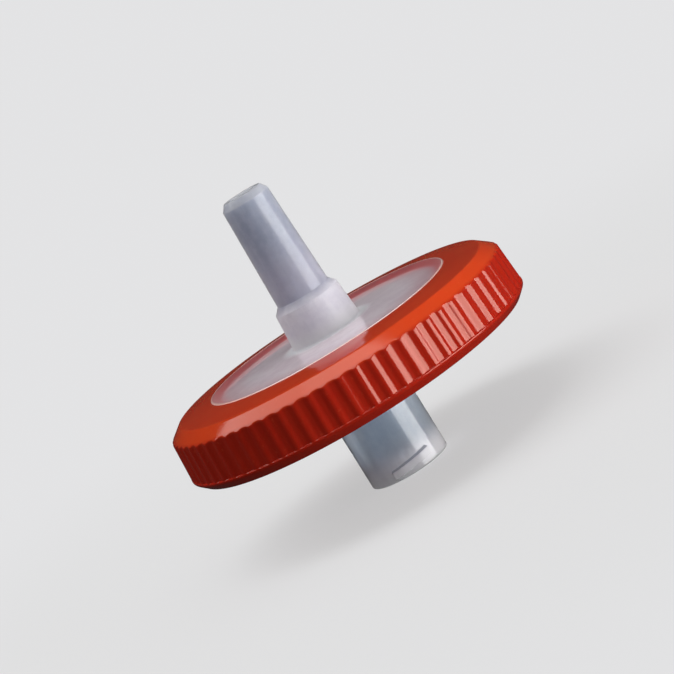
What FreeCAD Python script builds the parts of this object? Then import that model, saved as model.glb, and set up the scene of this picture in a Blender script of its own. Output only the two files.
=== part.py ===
import FreeCAD, Part
import Sketcher
import math
import os

# An in-line membrane filter for syringes. Two moulded halves clamp a thin round membrane, and a fluted
# ring moulded over their edges holds them together. The filter stands on the rim of its inlet hub:
# z is 0 there, and +Z runs up the axis to the outlet tip. Lengths are millimetres, angles degrees.

SIZES = {
    # levels up the axis
    "ring_bottom": 7.3,
    "lip_bottom": 8.0,
    "flute_foot": 8.2,
    "parting": 10.0,
    "wall_top": 11.3,
    "chamfer_top": 12.2,
    "ring_top": 12.5,
    "shoulder_base": 15.45,
    "taper_base": 16.0,
    "taper_end": 24.35,
    "tip_end": 24.9,
    # grip ring
    "ring_base_r": 14.2,
    "lip_r": 14.93,
    "wall_draft": 0.23,
    "chamfer_inner_r": 13.54,
    "flute_count": 70,
    "flute_depth": 0.24,
    "flute_half_width": 0.62,
    "flute_cutter_reach": 1.5,
    # what both halves of the housing share
    "window_r": 10.44,
    "window_wall": 0.6,
    "window_depth": 0.3,
    "plate_r": 13.2,
    "plate_edge": 1.5,
    "chamber_r": 11.2,
    "rib_pair_count": 6,
    "long_rib_inner_r": 2.2,
    "short_rib_inner_r": 6.2,
    "rib_width": 0.45,
    # outlet half
    "outlet_channel_depth": 0.4,
    "collar_foot_r": 2.9,
    "collar_top_r": 2.73,
    "collar_flare": 0.25,
    "luer_half_taper": 0.03,
    "tip_r": 1.99,
    "tip_face_r": 1.6,
    "bore_r": 1.15,
    # inlet half
    "inlet_channel_depth": 0.8,
    "hub_r": 3.35,
    "hub_flare": 0.25,
    "hub_rim_bevel": 0.25,
    "socket_mouth_r": 2.145,
    "socket_lead": 0.15,
    "socket_depth": 7.5,
    "feed_r": 0.9,
    "lug_r": 3.9,
    "lug_root_r": 3.2,
    "lug_base": 0.2,
    "lug_height": 0.85,
    "lug_bevel": 0.15,
    "lug_pitch": 2.6,
    "lug_angle": 58.0,
    "lug_count": 2,
    # membrane
    "membrane_r": 12.4,
    "membrane_thickness": 0.17,
    "membrane_gap": 0.05,
}

# how far a rib runs on into the wall that carries it
BITE = 0.1
FULL_TURN = 360.0


class Size:
    """A length or angle held twice: as a number, and as the sheet expression that drives it."""

    def __init__(self, value, text):
        self.value = value
        self.text = text

    def __add__(self, other):
        other = as_size(other)
        return Size(self.value + other.value, f"({self.text} + {other.text})")

    def __sub__(self, other):
        other = as_size(other)
        return Size(self.value - other.value, f"({self.text} - {other.text})")

    def __mul__(self, other):
        other = as_size(other)
        return Size(self.value * other.value, f"({self.text} * {other.text})")

    def __truediv__(self, other):
        other = as_size(other)
        return Size(self.value / other.value, f"({self.text} / {other.text})")

    def __neg__(self):
        return Size(-self.value, f"(-{self.text})")


def as_size(number):
    """A plain number as a size, so that sizes and numbers mix in one sum."""
    if isinstance(number, Size):
        return number
    return Size(number, f"({number})")


def size(alias):
    """One cell of the sheet."""
    return Size(SIZES[alias], f"Sizes.{alias}")


def angle_of(rise, run):
    """The angle whose tangent is rise over run."""
    ratio = rise / run
    return Size(math.degrees(math.atan(ratio.value)), f"atan({ratio.text})")


def tangent(angle):
    return Size(math.tan(math.radians(angle.value)), f"tan({angle.text})")


def add_sheet(doc):
    """The spreadsheet that drives every sub-part."""
    sheet = doc.addObject("Spreadsheet::Sheet", "Sizes")
    for row, (alias, value) in enumerate(SIZES.items(), start=1):
        sheet.set(f"A{row}", alias)
        sheet.set(f"B{row}", str(value))
        sheet.setAlias(f"B{row}", alias)
    doc.recompute()


def bind(item, prop, value):
    """Drive one property of an object from the sheet."""
    item.setExpression(prop, as_size(value).text)


def add_body(doc, label):
    body = doc.addObject("PartDesign::Body", label)
    body.Label = label
    body.Placement = FreeCAD.Placement()
    return body


def origin_feature(body, role):
    """One of the body's own origin planes or axes."""
    return next(item for item in body.Origin.OriginFeatures if item.Role == role)


def add_sketch(body, name, role, level=0):
    """A sketch on one of the body's origin planes, lifted off it by level."""
    sketch = body.newObject("Sketcher::SketchObject", name)
    sketch.AttachmentSupport = [(origin_feature(body, role), "")]
    sketch.MapMode = "FlatFace"
    bind(sketch, "AttachmentOffset.Base.z", level)
    return sketch


def turn_sketch(sketch, axis, angle):
    """Turn a sketch about one of its own axes."""
    sketch.AttachmentOffset = FreeCAD.Placement(FreeCAD.Vector(), FreeCAD.Rotation(axis, angle.value))
    bind(sketch, "AttachmentOffset.Rotation.Angle", angle)


def constrain(sketch, name, value, *constraint):
    """Add a dimension to a sketch and drive it from the sheet."""
    index = sketch.addConstraint(Sketcher.Constraint(*constraint, value.value))
    sketch.renameConstraint(index, name)
    bind(sketch, f"Constraints.{name}", value)


def pin_point(sketch, edge, end, across=None, up=None):
    """Hold one point of an edge at its distances from the sketch's origin."""
    origin = (-1, 1)
    if across is not None:
        constrain(sketch, f"across_{edge}_{end}", across, "DistanceX", *origin, edge, end)
    if up is not None:
        constrain(sketch, f"up_{edge}_{end}", up, "DistanceY", *origin, edge, end)


def draw_outline(sketch, corners):
    """A closed outline of straight edges through corners, each a pair of sizes."""
    corners = [(as_size(across), as_size(up)) for across, up in corners]
    points = [FreeCAD.Vector(across.value, up.value, 0) for across, up in corners]
    edges = []
    for start, end in zip(points, points[1:] + points[:1]):
        edges.append(sketch.addGeometry(Part.LineSegment(start, end), False))
    for edge, following in zip(edges, edges[1:] + edges[:1]):
        sketch.addConstraint(Sketcher.Constraint("Coincident", edge, 2, following, 1))
    for edge, (across, up) in zip(edges, corners):
        pin_point(sketch, edge, 1, across, up)


def draw_box(sketch, left, right, low, high):
    draw_outline(sketch, [(left, low), (right, low), (right, high), (left, high)])


def revolve(body, name, sketch):
    """Turn a profile right round the axis."""
    feature = body.newObject("PartDesign::Revolution", name)
    feature.Profile = sketch
    feature.ReferenceAxis = (sketch, ["V_Axis"])
    feature.Angle = FULL_TURN
    body.Tip = feature
    return feature


def extrude(body, kind, name, sketch, length):
    """A Pad or a Pocket that goes the way its sketch faces, which is up the axis or along the wall."""
    feature = body.newObject(f"PartDesign::{kind}", name)
    feature.Profile = sketch
    feature.Reversed = kind == "Pocket"
    bind(feature, "Length", length)
    body.Tip = feature
    return feature


def repeat_round(body, name, feature, count):
    """Repeat a feature evenly round the axis."""
    pattern = body.newObject("PartDesign::PolarPattern", name)
    pattern.Originals = [feature]
    pattern.Axis = (origin_feature(body, "Z_Axis"), [""])
    pattern.Angle = FULL_TURN
    bind(pattern, "Occurrences", count)
    body.Tip = pattern
    return pattern


def grip_ring(doc):
    """The fluted ring: a C in section that wraps the edges of both halves."""
    body = add_body(doc, "grip_ring")
    wall_top_r = size("lip_r") - size("wall_draft")
    cavity_bottom = size("parting") - size("plate_edge")
    cavity_top = size("parting") + size("plate_edge")
    sketch = add_sketch(body, "RingProfile", "XZ_Plane")
    draw_outline(sketch, [
        (size("window_r"), size("ring_top")),
        (size("window_r"), cavity_top),
        (size("plate_r"), cavity_top),
        (size("plate_r"), cavity_bottom),
        (size("window_r"), cavity_bottom),
        (size("window_r"), size("ring_bottom")),
        (size("ring_base_r"), size("ring_bottom")),
        (size("lip_r"), size("lip_bottom")),
        (wall_top_r, size("wall_top")),
        (size("chamfer_inner_r"), size("chamfer_top")),
    ])
    revolve(body, "RingBlank", sketch)
    cut_flutes(body)
    return body


def cut_flutes(body):
    """Hollow flutes side by side, cut up the drafted wall from a ledge until they run out in the chamfer."""
    lean = angle_of(size("wall_draft"), size("wall_top") - size("lip_bottom"))
    wall_r = size("lip_r") - (size("flute_foot") - size("lip_bottom")) * tangent(lean)
    sketch = add_sketch(body, "FluteSection", "XY_Plane", size("flute_foot"))
    turn_sketch(sketch, FreeCAD.Vector(0, 1, 0), -lean)
    bind(sketch, "AttachmentOffset.Base.x", wall_r)
    draw_flute(sketch)
    flute = extrude(body, "Pocket", "Flute", sketch, size("ring_top") - size("flute_foot"))
    repeat_round(body, "Flutes", flute, size("flute_count"))


def draw_flute(sketch):
    """The flute's section: an arc hollowed into the wall, closed by a box well outside it."""
    half = size("flute_half_width")
    depth = size("flute_depth")
    reach = size("flute_cutter_reach")
    hollow_r = (half * half + depth * depth) / (depth * 2)
    low = FreeCAD.Vector(0, -half.value, 0)
    high = FreeCAD.Vector(0, half.value, 0)
    deepest = FreeCAD.Vector(-depth.value, 0, 0)
    outward = FreeCAD.Vector(reach.value, 0, 0)
    hollow = sketch.addGeometry(Part.Arc(high, deepest, low), False)
    low_side = sketch.addGeometry(Part.LineSegment(low, low + outward), False)
    back = sketch.addGeometry(Part.LineSegment(low + outward, high + outward), False)
    high_side = sketch.addGeometry(Part.LineSegment(high + outward, high), False)
    for first, second in ((hollow, low_side), (low_side, back), (back, high_side), (high_side, hollow)):
        sketch.addConstraint(Sketcher.Constraint("Coincident", first, 2, second, 1))
    pin_point(sketch, hollow, 1, as_size(0), half)
    pin_point(sketch, hollow, 2, as_size(0), -half)
    pin_point(sketch, back, 1, reach, -half)
    pin_point(sketch, back, 2, reach, half)
    constrain(sketch, "hollow_r", hollow_r, "Radius", hollow)


def window_corners(plate_edge_level, face_level, floor_level):
    """The outside of a half from its clamped edge in to the foot of its dished window."""
    return [
        (size("plate_r"), size("parting")),
        (size("plate_r"), plate_edge_level),
        (size("window_r"), plate_edge_level),
        (size("window_r"), face_level),
        (size("window_r") - size("window_wall"), floor_level),
    ]


def outlet_housing(doc):
    """The upper half: plate, dished window, collar and male tip in one moulding, ribbed underneath."""
    body = add_body(doc, "outlet_housing")
    taper_base_r = size("tip_r") + (size("taper_end") - size("taper_base")) * size("luer_half_taper")
    floor_level = size("ring_top") - size("window_depth")
    channel_depth = size("outlet_channel_depth")
    ceiling = size("parting") + channel_depth
    sketch = add_sketch(body, "OutletProfile", "XZ_Plane")
    draw_outline(sketch, [
        (size("bore_r"), ceiling),
        (size("chamber_r"), ceiling),
        (size("chamber_r"), size("parting")),
        *window_corners(size("parting") + size("plate_edge"), size("ring_top"), floor_level),
        (size("collar_foot_r") + size("collar_flare"), size("ring_top")),
        (size("collar_foot_r"), size("ring_top") + size("collar_flare")),
        (size("collar_top_r"), size("shoulder_base")),
        (taper_base_r, size("taper_base")),
        (size("tip_r"), size("taper_end")),
        (size("tip_face_r"), size("tip_end")),
        (size("bore_r"), size("tip_end")),
    ])
    revolve(body, "OutletBlank", sketch)
    add_ribs(body, size("parting"), channel_depth)
    return body


def inlet_housing(doc):
    """The lower half: plate, dished window and lugged female hub in one moulding, ribbed on top."""
    body = add_body(doc, "inlet_housing")
    seat = size("parting") - size("membrane_thickness")
    channel_depth = size("inlet_channel_depth")
    chamber_floor = seat - channel_depth
    seat_r = size("membrane_r") + size("membrane_gap")
    floor_level = size("ring_bottom") + size("window_depth")
    taper = size("luer_half_taper")
    socket_end_r = size("socket_mouth_r") - (size("socket_depth") - size("socket_lead")) * taper
    sketch = add_sketch(body, "InletProfile", "XZ_Plane")
    draw_outline(sketch, [
        (size("feed_r"), chamber_floor),
        (size("chamber_r"), chamber_floor),
        (size("chamber_r"), seat),
        (seat_r, seat),
        (seat_r, size("parting")),
        *window_corners(size("parting") - size("plate_edge"), size("ring_bottom"), floor_level),
        (size("hub_r") + size("hub_flare"), floor_level),
        (size("hub_r"), floor_level - size("hub_flare")),
        (size("hub_r"), size("hub_rim_bevel")),
        (size("hub_r") - size("hub_rim_bevel"), 0),
        (size("socket_mouth_r") + size("socket_lead"), 0),
        (size("socket_mouth_r"), size("socket_lead")),
        (socket_end_r, size("socket_depth")),
        (size("feed_r"), size("socket_depth")),
    ])
    revolve(body, "InletBlank", sketch)
    add_lugs(body)
    add_ribs(body, chamber_floor - BITE, channel_depth)
    return body


def add_lugs(body):
    """Two lugs on the hub's rim, each a short right-hand turn of thread that a syringe's collar grips."""
    sketch = add_sketch(body, "LugSection", "XZ_Plane")
    start = -(as_size(FULL_TURN / 4) + size("lug_angle") / 2)
    turn_sketch(sketch, FreeCAD.Vector(0, 1, 0), start)
    top = size("lug_base") + size("lug_height")
    draw_outline(sketch, [
        (size("lug_root_r"), size("lug_base")),
        (size("lug_r"), size("lug_base") + size("lug_bevel")),
        (size("lug_r"), top - size("lug_bevel")),
        (size("lug_root_r"), top),
    ])
    lug = body.newObject("PartDesign::AdditiveHelix", "Lug")
    lug.Profile = sketch
    lug.ReferenceAxis = (sketch, ["V_Axis"])
    lug.Mode = "pitch-height-angle"
    bind(lug, "Pitch", size("lug_pitch"))
    bind(lug, "Height", size("lug_pitch") * size("lug_angle") / FULL_TURN)
    body.Tip = lug
    body.Document.recompute()
    repeat_round(body, "Lugs", lug, size("lug_count"))


def add_ribs(body, foot_level, channel_depth):
    """Long ribs with short ones between them, which hold the membrane off the plate."""
    between = as_size(FULL_TURN / 2) / size("rib_pair_count")
    for name, inner_r, turn in (
        ("Long", size("long_rib_inner_r"), as_size(0)),
        ("Short", size("short_rib_inner_r"), between),
    ):
        sketch = add_sketch(body, f"{name}RibSection", "XY_Plane", foot_level)
        turn_sketch(sketch, FreeCAD.Vector(0, 0, 1), turn)
        half = size("rib_width") / 2
        draw_box(sketch, inner_r, size("chamber_r") + BITE, -half, half)
        rib = extrude(body, "Pad", f"{name}Rib", sketch, channel_depth + BITE)
        repeat_round(body, f"{name}Ribs", rib, size("rib_pair_count"))


def filter_membrane(doc):
    """The thin round membrane, clamped by its edge between the halves."""
    disc = doc.addObject("Part::Cylinder", "filter_membrane")
    disc.Label = "filter_membrane"
    bind(disc, "Radius", size("membrane_r"))
    bind(disc, "Height", size("membrane_thickness"))
    bind(disc, "Placement.Base.z", size("parting") - size("membrane_thickness"))
    return disc


def check_document(doc, parts):
    """Stop on any object that failed, and on any sub-part with no sound shape."""
    for item in doc.Objects:
        if "Invalid" in item.State or "Error" in item.State:
            raise RuntimeError(f"{item.Label} failed: {item.State}")
    for part in parts:
        if part.Shape.isNull() or not part.Shape.isValid():
            raise RuntimeError(f"{part.Label} has no sound shape")


def write_parts(parts):
    os.makedirs("parts", exist_ok=True)
    for part in parts:
        part.Shape.exportStep(os.path.join("parts", f"{part.Label}.step"))


def main():
    doc = FreeCAD.newDocument("SyringeFilter")
    add_sheet(doc)
    parts = [grip_ring(doc), outlet_housing(doc), inlet_housing(doc), filter_membrane(doc)]
    doc.recompute()
    check_document(doc, parts)
    write_parts(parts)


main()
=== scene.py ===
import math

import bpy
import numpy as np
from mathutils import Matrix, Vector


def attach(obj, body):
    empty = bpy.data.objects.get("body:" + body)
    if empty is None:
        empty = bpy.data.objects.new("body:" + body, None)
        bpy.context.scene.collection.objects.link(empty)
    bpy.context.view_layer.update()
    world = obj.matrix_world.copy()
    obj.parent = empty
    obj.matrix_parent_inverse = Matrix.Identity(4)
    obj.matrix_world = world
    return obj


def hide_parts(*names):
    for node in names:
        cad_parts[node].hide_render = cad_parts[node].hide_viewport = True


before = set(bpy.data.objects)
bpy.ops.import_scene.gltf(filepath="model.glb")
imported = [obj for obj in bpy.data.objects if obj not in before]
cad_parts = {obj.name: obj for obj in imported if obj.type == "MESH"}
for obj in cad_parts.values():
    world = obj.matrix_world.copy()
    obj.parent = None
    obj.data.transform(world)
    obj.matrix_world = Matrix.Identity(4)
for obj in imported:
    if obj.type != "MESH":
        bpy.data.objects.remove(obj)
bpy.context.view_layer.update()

# Lengths on the part are millimetres, and those of the set are metres. Named angles are degrees.
MM = 0.001

# grip ring
RING_BOTTOM = 7.3
LIP_BOTTOM = 8.0
FLUTE_FOOT = 8.2
WALL_TOP = 11.3
CHAMFER_TOP = 12.2
RING_TOP = 12.5
RING_BASE_R = 14.2
LIP_R = 14.93
WALL_TOP_R = 14.7
CHAMFER_INNER_R = 13.54
FLUTE_COUNT = 70
FLUTE_DEPTH = 0.15
RIDGE_HALF_WIDTH = 0.54
RUN_OUT_SOFTNESS = 0.04
FLUTE_FOOT_RISE = 0.08

# what both halves of the housing share
PARTING = 10.0
PLATE_R = 13.2
PLATE_EDGE = 1.5
WINDOW_R = 10.44
WINDOW_WALL = 0.75
WINDOW_DEPTH = 0.3
RIM_WIDTH = 0.16
RIM_RISE = 0.04
CHAMBER_R = 11.2

# outlet half
OUTLET_CHANNEL_DEPTH = 0.4
COLLAR_FOOT_R = 2.95
COLLAR_TOP_R = 2.73
SHOULDER_BASE = 15.45
TAPER_BASE = 16.0
TAPER_BASE_R = 2.24
TAPER_END = 24.35
TIP_R = 1.99
TIP_FACE_R = 1.6
TIP_END = 24.9
BORE_R = 1.15

# inlet half
INLET_CHANNEL_DEPTH = 0.8
HUB_R = 3.35
SOCKET_MOUTH_R = 2.145
SOCKET_LEAD = 0.15
SOCKET_DEPTH = 7.5
SOCKET_END_R = 1.925
FEED_R = 0.9
LUG_R = 3.9
LUG_LOW = 0.41
LUG_HIGH = 1.26
LUG_HALF_ANGLE = 29.0
LUG_SPACING = 180
LUG_PITCH = 2.6
LUG_CORNER = 0.1
LUG_FLANK = 0.16

# the levels, and the angles from a lug's centre, between which the hub's wall follows the thread
THREAD_FOOT = 0.02
THREAD_FULL = LUG_LOW - 0.03
THREAD_TOP = 3.0
THREAD_HALF_ANGLE = 45
THREAD_FADE_ANGLE = LUG_HALF_ANGLE * 1.3

# membrane
MEMBRANE_R = 12.4
MEMBRANE_THICKNESS = 0.17
POCKET_R = MEMBRANE_R + 0.05
SEAT = PARTING - MEMBRANE_THICKNESS
AXIS_GAP = 0.001

# how fine the meshes are: columns round the axis, steps round a corner, and the longest steps
# along an outline
COLUMNS_PER_FLUTE = 16
HOUSING_COLUMNS = 288
HUB_COLUMNS = 520
MEMBRANE_COLUMNS = 144
CORNER_STEPS = 6
INSIDE_STEP = 4.0
LEDGE_STEP = 0.0125
NEAR_LEDGE_STEP = 0.03
RUN_OUT_STEP = 0.04
RING_STEP = 0.8
HOUSING_STEP = 0.5
LUG_STEP = 0.03
HUB_STEP = 1.0
MEMBRANE_STEP = 0.8

# where those steps apply: inside the ring, by the ledge, where the flutes run out, by the lugs
INSIDE_REACH = PLATE_R + 0.1
LEDGE_REACH = 0.8 * FLUTE_FOOT_RISE
NEAR_LEDGE_REACH = 2 * FLUTE_FOOT_RISE
RUN_OUT_FROM = WALL_TOP - 0.15
RUN_OUT_TO = WALL_TOP + 0.3
LUG_WALL_FROM = HUB_R - 0.08
LUG_ROWS_FROM = 0.1
LUG_ROWS_TO = LUG_HIGH + 0.3

# the most of a side that a corner's rounding takes up, and the longest last step, in steps
SIDE_SHARE = 0.49
LAST_STEP = 1.5


def add_object(name, data):
    added = bpy.data.objects.new(name, data)
    bpy.context.scene.collection.objects.link(added)
    return added


def add_mesh(name, points, faces):
    mesh = bpy.data.meshes.new(name)
    mesh.from_pydata(points, [], faces)
    return add_object(name, mesh)


# --- meshes ---------------------------------------------------------------------------------------


def softened(corners):
    """A closed outline with rounded corners. Each corner is a radius, a level and a rounding."""
    stations = []
    for index, (across, up, rounding) in enumerate(corners):
        corner = Vector((across, up))
        if not rounding:
            stations.append(corner)
            continue
        before = Vector(corners[index - 1][:2]) - corner
        after = Vector(corners[(index + 1) % len(corners)][:2]) - corner
        half_turn = (math.pi - before.angle(after)) / 2
        room = min(before.length * SIDE_SHARE, after.length * SIDE_SHARE)
        reach = min(rounding * math.tan(half_turn), room)
        start = corner + before.normalized() * reach
        end = corner + after.normalized() * reach
        for step in range(CORNER_STEPS + 1):
            share = step / CORNER_STEPS
            stations.append(start.lerp(corner, share).lerp(corner.lerp(end, share), share))
    return stations


def filled(stations, longest):
    """A closed outline with stations added, so that steps are about longest(station) at most."""
    outline = []
    for start, end in zip(stations, stations[1:] + stations[:1]):
        along = (end - start).normalized()
        here = start
        outline.append(here)
        while True:
            left = (end - here).length
            step = longest(here)
            step = min(step, longest(here + along * min(step, left)))
            if left < LAST_STEP * step:
                break
            here = here + along * step
            outline.append(here)
    return outline


def counterclockwise(outline):
    """The same outline, in the order that makes its turned faces look outwards."""
    area = sum(a.x * b.y - b.x * a.y for a, b in zip(outline, outline[1:] + outline[:1]))
    return outline if area > 0 else outline[::-1]


def evenly_round(columns):
    return np.arange(columns) * math.tau / columns


def turned(name, outline, angles, shape=None):
    """Turn a closed outline right round the axis. shape(angle, radius, level) moves its points."""
    outline = counterclockwise(outline)
    columns = len(angles)
    radius = np.array([[station.x] for station in outline]) * np.ones(columns)
    level = np.array([[station.y] for station in outline]) * np.ones(columns)
    angle = angles * np.ones(radius.shape)
    if shape:
        radius, level = shape(angle, radius, level)
    points = np.stack([radius * np.cos(angle), radius * np.sin(angle), level], axis=-1) * MM
    number = np.arange(len(outline) * columns).reshape(len(outline), columns)
    next_row = np.roll(number, -1, axis=0)
    next_column = np.roll(number, -1, axis=1)
    next_both = np.roll(next_row, -1, axis=1)
    quads = np.stack([number, next_column, next_both, next_row], axis=-1)
    piece = add_mesh(name, points.reshape(-1, 3).tolist(), quads.reshape(-1, 4).tolist())
    piece.data.shade_smooth()
    return piece


def smooth_step(low, high, value):
    share = np.clip((value - low) / (high - low), 0, 1)
    return share * share * (3 - 2 * share)


def soft_lower(first, second, softness):
    """The lower of two values, with the corner where they cross rounded off."""
    return (first + second - np.sqrt((first - second) ** 2 + softness**2)) / 2


def flute_depth(angle):
    """How deep the flutes lie under the wall at an angle: hollows between soft round ridges."""
    pitch = math.tau / FLUTE_COUNT
    from_ridge = np.minimum(angle % pitch, pitch - angle % pitch) * LIP_R
    return FLUTE_DEPTH * smooth_step(0, RIDGE_HALF_WIDTH, from_ridge)


def cut_flutes(angle, radius, level):
    """Hollow the flutes up the wall from a ledge until they run out in the chamfer."""
    wall_slope = (LIP_R - WALL_TOP_R) / (WALL_TOP - LIP_BOTTOM)
    wall_r = LIP_R - (level - LIP_BOTTOM) * wall_slope
    cut = soft_lower(radius, wall_r - flute_depth(angle), RUN_OUT_SOFTNESS)
    half_rise = FLUTE_FOOT_RISE / 2
    above_ledge = smooth_step(FLUTE_FOOT - half_rise, FLUTE_FOOT + half_rise, level)
    outside = radius > CHAMFER_INNER_R + RUN_OUT_SOFTNESS
    return np.where(outside, radius + (cut - radius) * above_ledge, radius), level


def flute_angles():
    """The ring's columns: close together at the ridges, further apart down in the hollows."""
    even = np.linspace(-1, 1, COLUMNS_PER_FLUTE, endpoint=False)
    bunched = even * (1 + np.abs(even)) / 2
    flutes = np.arange(FLUTE_COUNT).reshape(-1, 1)
    return ((flutes + bunched / 2) * math.tau / FLUTE_COUNT).reshape(-1)


def ring_step(station):
    """Short steps where the flutes start and where they run out, long ones elsewhere."""
    from_ledge = abs(station.y - FLUTE_FOOT)
    if station.x < INSIDE_REACH:
        return INSIDE_STEP
    if from_ledge < LEDGE_REACH:
        return LEDGE_STEP
    if from_ledge < NEAR_LEDGE_REACH:
        return NEAR_LEDGE_STEP
    if RUN_OUT_FROM < station.y < RUN_OUT_TO:
        return RUN_OUT_STEP
    return RING_STEP


def make_ring():
    """The fluted ring, a C in section, with every moulded edge eased."""
    outline = softened([
        (WINDOW_R, RING_TOP, 0.07),
        (WINDOW_R, PARTING + PLATE_EDGE, 0),
        (PLATE_R, PARTING + PLATE_EDGE, 0),
        (PLATE_R, PARTING - PLATE_EDGE, 0),
        (WINDOW_R, PARTING - PLATE_EDGE, 0),
        (WINDOW_R, RING_BOTTOM, 0.07),
        (RING_BASE_R, RING_BOTTOM, 0.4),
        (LIP_R, LIP_BOTTOM, 0.3),
        (WALL_TOP_R, WALL_TOP, 0.25),
        (CHAMFER_INNER_R, CHAMFER_TOP, 0.5),
    ])
    return turned("grip_ring_moulding", filled(outline, ring_step), flute_angles(), cut_flutes)


def make_outlet():
    """The upper half: plate, dished window, collar and male tip."""
    ceiling = PARTING + OUTLET_CHANNEL_DEPTH
    outline = softened([
        (BORE_R, ceiling, 0.1),
        (CHAMBER_R, ceiling, 0.1),
        (CHAMBER_R, PARTING, 0),
        (PLATE_R, PARTING, 0),
        (PLATE_R, PARTING + PLATE_EDGE, 0),
        (WINDOW_R, PARTING + PLATE_EDGE, 0),
        (WINDOW_R, RING_TOP + RIM_RISE, 0.05),
        (WINDOW_R - RIM_WIDTH, RING_TOP + RIM_RISE, 0.05),
        (WINDOW_R - WINDOW_WALL, RING_TOP - WINDOW_DEPTH, 0.6),
        (COLLAR_FOOT_R, RING_TOP, 0.14),
        (COLLAR_TOP_R, SHOULDER_BASE, 0.1),
        (TAPER_BASE_R, TAPER_BASE, 0.08),
        (TIP_R, TAPER_END, 0.12),
        (TIP_FACE_R, TIP_END, 0.1),
        (BORE_R, TIP_END, 0.1),
    ])
    rows = filled(outline, lambda station: HOUSING_STEP)
    return turned("outlet_moulding", rows, evenly_round(HOUSING_COLUMNS))


def degrees_off_lug(angle):
    """How far an angle lies from the nearer lug's centre line."""
    return (np.degrees(angle) % LUG_SPACING) - LUG_SPACING / 2


def lug_lift(off_centre, level):
    """How far a lug stands out of the hub's wall: a rounded rectangle with soft flanks."""
    half_long = math.radians(LUG_HALF_ANGLE) * HUB_R - LUG_CORNER
    half_tall = (LUG_HIGH - LUG_LOW) / 2 - LUG_CORNER
    past_end = np.abs(np.radians(off_centre)) * HUB_R - half_long
    past_side = np.abs(level - (LUG_HIGH + LUG_LOW) / 2) - half_tall
    outside = np.hypot(np.maximum(past_end, 0), np.maximum(past_side, 0))
    inside = np.minimum(np.maximum(past_end, past_side), 0)
    depth_in = LUG_CORNER - outside - inside
    return smooth_step(0, LUG_FLANK, depth_in) * (LUG_R - HUB_R)


def thread_rise(off_centre, level):
    """How far the hub's wall is shifted up, so that the lugs follow a right-hand thread."""
    near_lug = 1 - smooth_step(THREAD_FADE_ANGLE, LUG_SPACING / 2, np.abs(off_centre))
    turn = np.clip(off_centre, -THREAD_HALF_ANGLE, THREAD_HALF_ANGLE) / 360
    starting = smooth_step(THREAD_FOOT, THREAD_FULL, level)
    stopping = smooth_step(LUG_HIGH, THREAD_TOP, level)
    return turn * LUG_PITCH * near_lug * (starting * (1 - stopping))


def raise_lugs(angle, radius, level):
    """Lift two lugs out of the hub's wall."""
    off_centre = degrees_off_lug(angle)
    on_wall = radius > (HUB_R + SOCKET_MOUTH_R) / 2
    lifted = np.where(on_wall, radius + lug_lift(off_centre, level), radius)
    return lifted, np.where(on_wall, level + thread_rise(off_centre, level), level)


def hub_step(station):
    """Short steps where the lugs stand, long ones elsewhere."""
    on_wall = LUG_WALL_FROM < station.x < LUG_R
    beside_lugs = LUG_ROWS_FROM < station.y < LUG_ROWS_TO
    return LUG_STEP if on_wall and beside_lugs else HUB_STEP


def make_inlet():
    """The lower half: plate, dished window and the lugged female hub."""
    chamber_floor = SEAT - INLET_CHANNEL_DEPTH
    outline = softened([
        (FEED_R, chamber_floor, 0.1),
        (CHAMBER_R, chamber_floor, 0.1),
        (CHAMBER_R, SEAT, 0),
        (POCKET_R, SEAT, 0),
        (POCKET_R, PARTING, 0),
        (PLATE_R, PARTING, 0),
        (PLATE_R, PARTING - PLATE_EDGE, 0),
        (WINDOW_R, PARTING - PLATE_EDGE, 0),
        (WINDOW_R, RING_BOTTOM, 0.05),
        (WINDOW_R - RIM_WIDTH, RING_BOTTOM, 0.08),
        (WINDOW_R - WINDOW_WALL, RING_BOTTOM + WINDOW_DEPTH, 0.6),
        (HUB_R, RING_BOTTOM + WINDOW_DEPTH, 0.3),
        (HUB_R, 0, 0.12),
        (SOCKET_MOUTH_R + SOCKET_LEAD, 0, 0.06),
        (SOCKET_MOUTH_R, SOCKET_LEAD, 0.1),
        (SOCKET_END_R, SOCKET_DEPTH, 0.15),
        (FEED_R, SOCKET_DEPTH, 0.1),
    ])
    rows = filled(outline, hub_step)
    return turned("inlet_moulding", rows, evenly_round(HUB_COLUMNS), raise_lugs)


def make_membrane():
    """The thin film between the halves."""
    outline = softened([
        (AXIS_GAP, SEAT, 0),
        (MEMBRANE_R, SEAT, 0.03),
        (MEMBRANE_R, PARTING, 0.03),
        (AXIS_GAP, PARTING, 0),
    ])
    rows = filled(outline, lambda station: MEMBRANE_STEP)
    return turned("membrane_film", rows, evenly_round(MEMBRANE_COLUMNS))


# --- materials ------------------------------------------------------------------------------------

# The Mix node has sockets for every kind of data. These are the ones it uses for colours.
MIX_SHARE, MIX_FIRST, MIX_SECOND, MIX_RESULT = 0, 6, 7, 2


class Shade:
    """A value in a material's node tree. Sums on it add the Math nodes."""

    def __init__(self, finish, socket):
        self.finish = finish
        self.socket = socket

    def __add__(self, other):
        return self.finish.maths("ADD", self, other)

    def __radd__(self, other):
        return self.finish.maths("ADD", other, self)

    def __sub__(self, other):
        return self.finish.maths("SUBTRACT", self, other)

    def __rsub__(self, other):
        return self.finish.maths("SUBTRACT", other, self)

    def __mul__(self, other):
        return self.finish.maths("MULTIPLY", self, other)

    def __rmul__(self, other):
        return self.finish.maths("MULTIPLY", other, self)

    def __truediv__(self, other):
        return self.finish.maths("DIVIDE", self, other)


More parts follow.
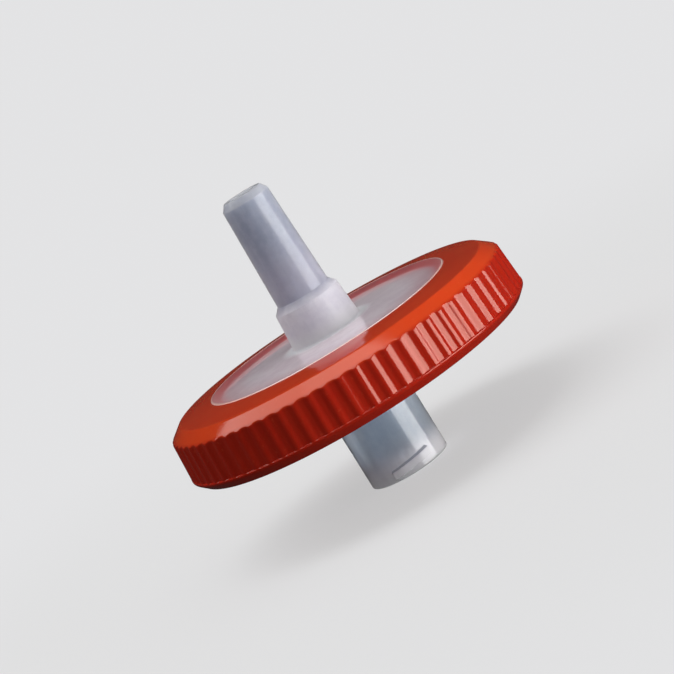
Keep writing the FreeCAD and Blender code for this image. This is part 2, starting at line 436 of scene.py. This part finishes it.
class Finish:
    """One material, or the world, and the calls that build it up."""

    def __init__(self, owner, output="ShaderNodeOutputMaterial"):
        self.owner = owner
        self.owner.use_nodes = True
        self.tree = owner.node_tree
        self.tree.nodes.clear()
        self.output = self.tree.nodes.new(output)

    def node(self, kind, settings=None, inputs=None, output=0):
        """Add a node of any kind: its settings first, then the values or links of its sockets."""
        node = self.tree.nodes.new(kind)
        for name, setting in (settings or {}).items():
            setattr(node, name, setting)
        for name, value in (inputs or {}).items():
            if isinstance(value, Shade):
                self.tree.links.new(value.socket, node.inputs[name])
            else:
                node.inputs[name].default_value = value
        return Shade(self, node.outputs[output])

    def maths(self, operation, first, second):
        return self.node("ShaderNodeMath", {"operation": operation}, {0: first, 1: second})

    def mix(self, share, first, second):
        """A colour between two colours."""
        inputs = {MIX_SHARE: share, MIX_FIRST: first, MIX_SECOND: second}
        return self.node("ShaderNodeMix", {"data_type": "RGBA"}, inputs, output=MIX_RESULT)

    def between(self, value, low, high):
        """0 below low, 1 above high, and a smooth slope between."""
        inputs = {"Value": value, "From Min": low, "From Max": high}
        return self.node("ShaderNodeMapRange", {"interpolation_type": "SMOOTHSTEP"}, inputs)

    def place(self):
        """Where a point is on the part, in metres."""
        return self.node("ShaderNodeTexCoord", output="Object")

    def scaled_place(self, scale):
        """The same, with each axis scaled."""
        inputs = {0: self.place(), 1: scale}
        return self.node("ShaderNodeVectorMath", {"operation": "MULTIPLY"}, inputs)

    def height(self):
        """A point's height up the axis, in millimetres."""
        return self.node("ShaderNodeSeparateXYZ", inputs={"Vector": self.place()}, output="Z") / MM

    def from_axis(self):
        """A point's distance from the axis, in millimetres."""
        flat = {0: self.scaled_place((1, 1, 0))}
        return self.node("ShaderNodeVectorMath", {"operation": "LENGTH"}, flat, output="Value") / MM

    def grain(self, size, detail, roughness=0.5, stretch=1.0):
        """Cloudy noise from 0 to 1, in patches size millimetres wide and stretch times as tall."""
        inputs = {
            "Vector": self.scaled_place((1, 1, 1 / stretch)),
            "Scale": 1 / (size * MM),
            "Detail": detail,
            "Roughness": roughness,
        }
        return self.node("ShaderNodeTexNoise", inputs=inputs)

    def bump(self, height, depth):
        """A normal from a height of 0 to 1 that stands for depth millimetres."""
        inputs = {"Height": height, "Distance": depth * MM, "Strength": 1.0}
        return self.node("ShaderNodeBump", inputs=inputs)

    def seen(self):
        """1 for the rays that the camera sees, straight, mirrored or through clear plastic."""
        straight, mirrored, through = [
            self.node("ShaderNodeLightPath", output=name)
            for name in ("Is Camera Ray", "Is Glossy Ray", "Is Transmission Ray")
        ]
        return self.maths("MAXIMUM", straight, self.maths("MAXIMUM", mirrored, through))

    def surface(self, **inputs):
        """The surface shader, whose sockets take the given values or links."""
        named = {name.replace("_", " "): value for name, value in inputs.items()}
        return self.node("ShaderNodeBsdfPrincipled", inputs=named)

    def emission(self, colour):
        return self.node("ShaderNodeEmission", inputs={"Color": colour})

    def blend(self, share, first, second):
        """A shader between two shaders."""
        return self.node("ShaderNodeMixShader", inputs={0: share, 1: first, 2: second})

    def close(self, shader):
        self.tree.links.new(shader.socket, self.output.inputs["Surface"])
        return self.owner


def opaque(red, green, blue):
    return (red, green, blue, 1.0)


def grey(level):
    return opaque(level, level, level)


# ring plastic: a pair of colours is what its clouds run between
# painted shade: the wall and the flat top are given darker reds than the chamfer
WALL_PAINTED_SHADE_REDS = opaque(0.37, 0.013, 0.006), opaque(0.44, 0.021, 0.008)
CHAMFER_REDS = opaque(0.57, 0.046, 0.009), opaque(0.67, 0.062, 0.013)
TOP_PAINTED_SHADE_RED = opaque(0.38, 0.018, 0.008)
SPECK_RED = opaque(0.84, 0.15, 0.06)
GLOSS_TINT = opaque(1.0, 0.70, 0.58)
SHEEN_TINT = opaque(1.0, 0.3, 0.2)
RED_DEPTHS = (1.0, 0.15, 0.06)

# natural plastic: the same, from the tip down to the lugs, and then out to the ring
# painted shade makes the tip and the hub darker copies of the one plastic, painted light the collar
# a lighter one
TIP_PAINTED_SHADE_MILKS = opaque(0.33, 0.37, 0.48), opaque(0.45, 0.49, 0.60)
TIP_FOOT_MILK = opaque(0.54, 0.53, 0.64)
# painted highlight: the band at the tip's end is whiter
TIP_END_PAINTED_HIGHLIGHT = opaque(0.74, 0.71, 0.79)
COLLAR_PAINTED_LIGHT_MILKS = opaque(0.63, 0.62, 0.72), opaque(0.73, 0.72, 0.81)
# painted light whitens the collar's foot
COLLAR_FOOT_PAINTED_LIGHT_MILK = opaque(0.90, 0.88, 0.94)
HUB_PAINTED_SHADE_MILKS = opaque(0.44, 0.51, 0.60), opaque(0.56, 0.63, 0.71)
# painted light whitens the hub's foot
HUB_FOOT_PAINTED_LIGHT_MILK = opaque(0.86, 0.83, 0.90)
# painted shade along the lugs' flanks
LUG_FLANK_PAINTED_SHADE = opaque(0.16, 0.19, 0.26)
PLATE_MILKS = opaque(0.69, 0.51, 0.60), opaque(0.80, 0.63, 0.71)
# painted glow: the ring's red light, faint on the plate and strong on the window's wall
PAINTED_GLOW_PINK = opaque(0.62, 0.22, 0.24)
PAINTED_GLOW_RED = opaque(0.46, 0.035, 0.035)
# painted highlight along the window's rim
RIM_PAINTED_HIGHLIGHT = opaque(0.88, 0.34, 0.27)

# natural plastic: the radii and heights between which a look comes in
PLATE_STARTS = 3.2, 4.2
ABOVE_LUGS = 4.0, 6.0
HUB_FOOT = 2.8, 0.6
FAINT_GLOW_SPREAD = 6.6, 9.2
GLOW_SPREAD = 8.9, 10.0

MEMBRANE_WHITES = opaque(0.80, 0.80, 0.78), opaque(0.90, 0.90, 0.89)


def ring_plastic():
    """Orange-red moulded plastic: glossy, with faint flow clouds, a little dulled by handling."""
    finish = Finish(bpy.data.materials.new("ring plastic"))
    clouds = finish.grain(size=5.0, detail=3)
    fine = finish.grain(size=0.35, detail=3)
    peel = finish.grain(size=0.9, detail=1)
    smudges = finish.between(finish.grain(size=3.0, detail=4), 0.45, 0.7)
    specks = finish.between(fine, 0.62, 0.8)
    height = finish.height()
    on_chamfer = finish.between(height, WALL_TOP - 0.1, WALL_TOP + 0.3)
    on_top = finish.between(height, CHAMFER_TOP - 0.05, CHAMFER_TOP + 0.05)
    # painted shade darkens the wall below the chamfer and, at part strength, the flat top
    wall = finish.mix(clouds, *WALL_PAINTED_SHADE_REDS)
    chamfer = finish.mix(clouds, *CHAMFER_REDS)
    red_with_painted_shade = finish.mix(on_chamfer, wall, chamfer)
    red_with_painted_shade = finish.mix(on_top * 0.35, red_with_painted_shade, TOP_PAINTED_SHADE_RED)
    return finish.close(finish.surface(
        Base_Color=finish.mix(specks * 0.15, red_with_painted_shade, SPECK_RED),
        Roughness=0.10 + 0.01 * fine + 0.05 * smudges,
        IOR=1.46,
        Specular_Tint=GLOSS_TINT,
        Sheen_Weight=0.03,
        Sheen_Tint=SHEEN_TINT,
        Subsurface_Weight=0.3,
        Subsurface_Radius=RED_DEPTHS,
        Subsurface_Scale=0.5 * MM,
        Normal=finish.bump(peel, 0.0006),
    ))


def natural_plastic():
    """Natural plastic: milky where light sinks into it, and half clear where the tubes are thin."""
    finish = Finish(bpy.data.materials.new("natural plastic"))
    height = finish.height()
    radius = finish.from_axis()

    # where a point is on the part
    on_plate = finish.between(radius, *PLATE_STARTS) * finish.between(height, *ABOVE_LUGS)
    on_collar = finish.between(height, SHOULDER_BASE + 0.7, SHOULDER_BASE - 0.2)
    on_hub = finish.between(height, RING_BOTTOM + 1.0, RING_BOTTOM - 0.5)
    tip_foot = finish.between(height, TAPER_BASE + 6.0, TAPER_BASE + 0.5)
    tip_end = finish.between(height, TAPER_END - 0.15, TAPER_END)
    # painted light: the collar's foot and the hub's foot are whitened; the hub's foot is also less
    # clear
    collar_foot = finish.between(height, RING_TOP + 1.6, RING_TOP + 0.1)
    hub_foot = finish.between(height, *HUB_FOOT)
    off_wall = finish.between(radius, HUB_R + 0.03, HUB_R + 0.1)
    off_lug = finish.between(radius, LUG_R - 0.02, LUG_R - 0.1)
    faint_glow = finish.between(radius, *FAINT_GLOW_SPREAD)
    glow = finish.between(radius, *GLOW_SPREAD) * 0.95
    rim = finish.between(radius, WINDOW_R - RIM_WIDTH, WINDOW_R - RIM_WIDTH / 2)

    # haze, which lies in clouds on the plate and in streaks along the tubes
    clouds = finish.grain(size=1.8, detail=4, roughness=0.6)
    mottle = finish.grain(size=0.45, detail=4, roughness=0.65)
    streaks = finish.grain(size=0.7, detail=2, stretch=16.0)
    flow = clouds * 0.4 * (1 + on_plate) + streaks * 0.4 * (1 - on_plate)
    haze = finish.between(flow + mottle * 0.2, 0.36, 0.64)

    # milky colours with painted light and shade, and the red that the plate takes on from the ring,
    # a painted glow
    # painted shade on the tip and the hub, painted light on the collar
    tip = finish.mix(tip_foot * 0.5, finish.mix(haze, *TIP_PAINTED_SHADE_MILKS), TIP_FOOT_MILK)
    collar = finish.mix(collar_foot * 0.7, finish.mix(haze, *COLLAR_PAINTED_LIGHT_MILKS), COLLAR_FOOT_PAINTED_LIGHT_MILK)
    hub = finish.mix(hub_foot * 0.9, finish.mix(haze, *HUB_PAINTED_SHADE_MILKS), HUB_FOOT_PAINTED_LIGHT_MILK)
    # painted shade along the lugs' flanks
    hub = finish.mix(off_wall * off_lug * 0.8, hub, LUG_FLANK_PAINTED_SHADE)
    tint = finish.mix(on_hub, finish.mix(on_collar, tip, collar), hub)
    tint = finish.mix(on_plate, tint, finish.mix(haze, *PLATE_MILKS))
    # painted red glow from the ring
    tint = finish.mix(faint_glow * 0.5, tint, PAINTED_GLOW_PINK)
    tint = finish.mix(glow, tint, PAINTED_GLOW_RED)
    # painted highlight along the window's rim
    tint = finish.mix(rim * 0.8, tint, RIM_PAINTED_HIGHLIGHT)
    # painted highlight on the tip's end
    tint = finish.mix(tip_end * 0.2, tint, TIP_END_PAINTED_HIGHLIGHT)

    shared = dict(
        Base_Color=tint,
        Roughness=0.30 + 0.16 * mottle,
        Specular_IOR_Level=0.05,
        Sheen_Weight=0.3,
        Coat_Weight=0.45 + 0.55 * on_hub - 0.3 * on_collar + 0.85 * on_plate - 0.7 * glow,
        Coat_Roughness=0.05,
        Normal=finish.bump((mottle * 0.6 + clouds * 0.4) * (1 - 0.95 * on_plate), 0.005),
    )
    milky = finish.surface(
        IOR=1.49,
        Subsurface_Weight=1.0,
        Subsurface_Radius=(1.0, 1.0, 1.0),
        Subsurface_Scale=6.0 * MM,
        **shared,
    )
    clear = finish.surface(IOR=1.3, Transmission_Weight=1.0, **shared)
    clearness = (1 - on_plate) * (0.3 - 0.1 * on_collar + (0.6 - 0.5 * hub_foot) * on_hub)
    return finish.close(finish.blend(clearness, milky, clear))


def membrane_film():
    """White porous film: matte, with a fine felted grain."""
    finish = Finish(bpy.data.materials.new("membrane film"))
    pores = finish.grain(size=0.12, detail=3, roughness=0.7)
    clouds = finish.grain(size=2.5, detail=2)
    return finish.close(finish.surface(
        Base_Color=finish.mix(pores * 0.5 + clouds * 0.5, *MEMBRANE_WHITES),
        Roughness=0.75 + 0.2 * pores,
        Normal=finish.bump(pores, 0.01),
    ))


def dress(piece, node, material):
    """Give a finished piece its material and let it stand for its CAD node."""
    piece.data.materials.append(material)
    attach(piece, "root")
    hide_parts(node)


# --- set ------------------------------------------------------------------------------------------

BACKGROUND = opaque(0.77, 0.77, 0.78)
STUDIO_GROUND = grey(0.15)
STUDIO_CEILING = grey(0.6)
CEILING_STARTS = 0.2, 1.0

# floor, which fades out between two distances from the axis in millimetres
PAPER_GREYS = opaque(0.51, 0.51, 0.52), opaque(0.53, 0.53, 0.54)
PAPER_LIFT = 0.5
FLOOR_FADE = 30.0, 100.0
FLOOR_HALF = 3.0

# dark card
CARD_GREY = grey(0.02)
CARD_R = 1.2
CARD_FOOT = -0.8
CARD_TOP = 4.0
CARD_SIDES = 24

LAMP_DISTANCE = 0.6

# camera, which aims this many millimetres right of and above the middle of the ring's top
AIM_RIGHT = 0.83
AIM_UP = -0.5
VIEW_AZIMUTH = -93.7
VIEW_ELEVATION = 8.8
VIEW_ROLL = 31.8
VIEW_DISTANCE = 0.2
VIEW_WIDTH = 0.0519
VIEW_NEAREST = 0.01
VIEW_FURTHEST = 20


def hide_from(thing, *rays):
    for kind in rays:
        setattr(thing, "visible_" + kind, False)


def pale_floor():
    """A pale floor under the part, which fades into the background further out."""
    finish = Finish(bpy.data.materials.new("pale floor"))
    dust = finish.grain(size=0.6, detail=2)
    paper = finish.node("ShaderNodeBsdfDiffuse", inputs={"Color": finish.mix(dust, *PAPER_GREYS)})
    near = finish.blend(finish.seen() * PAPER_LIFT, paper, finish.emission(grey(1)))
    far = finish.between(finish.from_axis(), *FLOOR_FADE)
    return finish.close(finish.blend(far, near, finish.emission(BACKGROUND)))


def make_floor():
    left, right = -FLOOR_HALF, FLOOR_HALF
    corners = [(left, left, 0), (right, left, 0), (right, right, 0), (left, right, 0)]
    floor = add_mesh("floor", corners, [(0, 1, 2, 3)])
    floor.data.materials.append(pale_floor())
    hide_from(floor, "glossy", "diffuse", "shadow")


def make_dark_card():
    """A dark card, a bowl round the set that only reflections show, which keeps the gloss deep."""
    points = [
        (CARD_R * math.cos(turn), CARD_R * math.sin(turn), level)
        for level in (CARD_FOOT, CARD_TOP)
        for turn in evenly_round(CARD_SIDES)
    ]
    sides = range(CARD_SIDES)
    following = [(side + 1) % CARD_SIDES for side in sides]
    walls = [
        (side, after, CARD_SIDES + after, CARD_SIDES + side)
        for side, after in zip(sides, following)
    ]
    card = add_mesh("dark card", points, walls + [tuple(sides)])
    finish = Finish(bpy.data.materials.new("dark card"))
    card.data.materials.append(finish.close(finish.emission(CARD_GREY)))
    hide_from(card, "camera", "diffuse", "transmission", "shadow")


def light_world():
    """A pale background behind a dimmer studio, whose ceiling is brighter than its floor."""
    world = bpy.data.worlds.new("studio")
    bpy.context.scene.world = world
    finish = Finish(world, "ShaderNodeOutputWorld")
    way = finish.node("ShaderNodeTexCoord", output="Generated")
    up = finish.node("ShaderNodeSeparateXYZ", inputs={"Vector": way}, output="Z")
    dome = finish.mix(finish.between(up, *CEILING_STARTS), STUDIO_GROUND, STUDIO_CEILING)
    studio = finish.node("ShaderNodeBackground", inputs={"Color": dome})
    backdrop = finish.node("ShaderNodeBackground", inputs={"Color": BACKGROUND})
    finish.close(finish.blend(finish.seen(), studio, backdrop))


def toward(azimuth, elevation):
    """The direction at an azimuth from +X and an elevation above the floor."""
    a, e = math.radians(azimuth), math.radians(elevation)
    return Vector((math.cos(a) * math.cos(e), math.sin(a) * math.cos(e), math.sin(e)))


def hang_softbox(name, direction, along, width, height, radiance):
    """A rectangular lamp that faces the part from a direction, with its width along another."""
    data = bpy.data.lights.new(name, "AREA")
    data.shape = "RECTANGLE"
    data.size = width
    data.size_y = height
    data.energy = radiance * math.pi * width * height
    lamp = add_object(name, data)
    across = (along - direction * along.dot(direction)).normalized()
    facing = Matrix((across, direction.cross(across), direction)).transposed()
    middle = Vector((0, 0, PARTING * MM)) + direction * LAMP_DISTANCE
    lamp.matrix_world = Matrix.Translation(middle) @ facing.to_4x4()
    hide_from(lamp, "camera")


def hang_softboxes():
    """One softbox for the faces that look up, and one for the streaks down the tubes and wall."""
    hang_softbox(
        "top softbox", toward(156, 73), toward(-36, 10), width=0.8, height=0.34, radiance=2.8
    )
    hang_softbox(
        "right softbox", toward(-34, -3), toward(56, 0), width=0.56, height=0.29, radiance=8.2
    )


def set_camera():
    data = bpy.data.cameras.new("camera")
    data.lens = data.sensor_width * VIEW_DISTANCE / VIEW_WIDTH
    data.clip_start = VIEW_NEAREST
    data.clip_end = VIEW_FURTHEST
    camera = add_object("camera", data)
    bpy.context.scene.camera = camera
    back = toward(VIEW_AZIMUTH, VIEW_ELEVATION)
    level = back.to_track_quat("Z", "Y").to_matrix()
    tilted = level @ Matrix.Rotation(-math.radians(VIEW_ROLL), 3, "Z")
    aim = Vector((0, 0, RING_TOP * MM)) + tilted @ Vector((AIM_RIGHT * MM, AIM_UP * MM, 0))
    camera.matrix_world = Matrix.Translation(aim + back * VIEW_DISTANCE) @ tilted.to_4x4()


def build():
    plastic = natural_plastic()
    dress(make_ring(), "grip_ring", ring_plastic())
    dress(make_outlet(), "outlet_housing", plastic)
    dress(make_inlet(), "inlet_housing", plastic)
    dress(make_membrane(), "filter_membrane", membrane_film())
    make_floor()
    light_world()
    make_dark_card()
    hang_softboxes()
    set_camera()
    bpy.context.scene.view_settings.view_transform = "Standard"


build()
